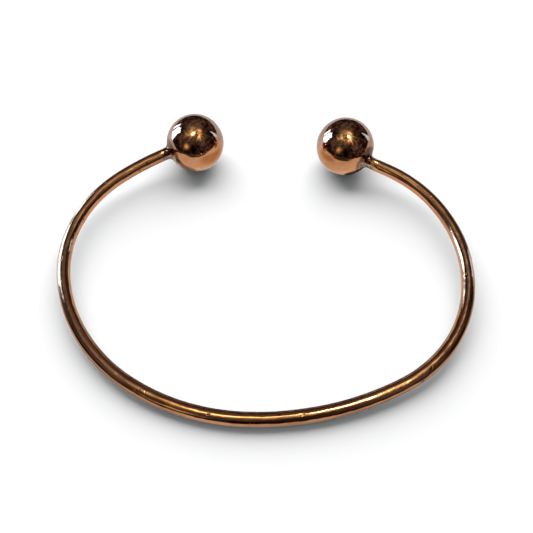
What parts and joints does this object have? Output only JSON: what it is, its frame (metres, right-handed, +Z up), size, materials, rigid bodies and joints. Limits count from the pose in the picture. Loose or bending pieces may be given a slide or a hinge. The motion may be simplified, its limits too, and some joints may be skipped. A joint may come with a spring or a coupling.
{
  "type": "cuff bracelet",
  "caption": "Open oval cuff bracelet of round copper wire with a solid ball soldered on each end, lying on its side.",
  "frame": {"origin": "on the table under the middle of the bracelet as it lies on its side", "axes": "+X across the bracelet from the left ball's side to the right ball's side, +Y from the front of the wire to the gap between the balls, +Z up from the table"},
  "size_m": [0.0634, 0.0536, 0.0097],
  "materials": {
    "copper": "polished copper, lightly tarnished"
  },
  "bodies": {
    "root": {"cuff": "copper"}
  },
  "joints": []
}
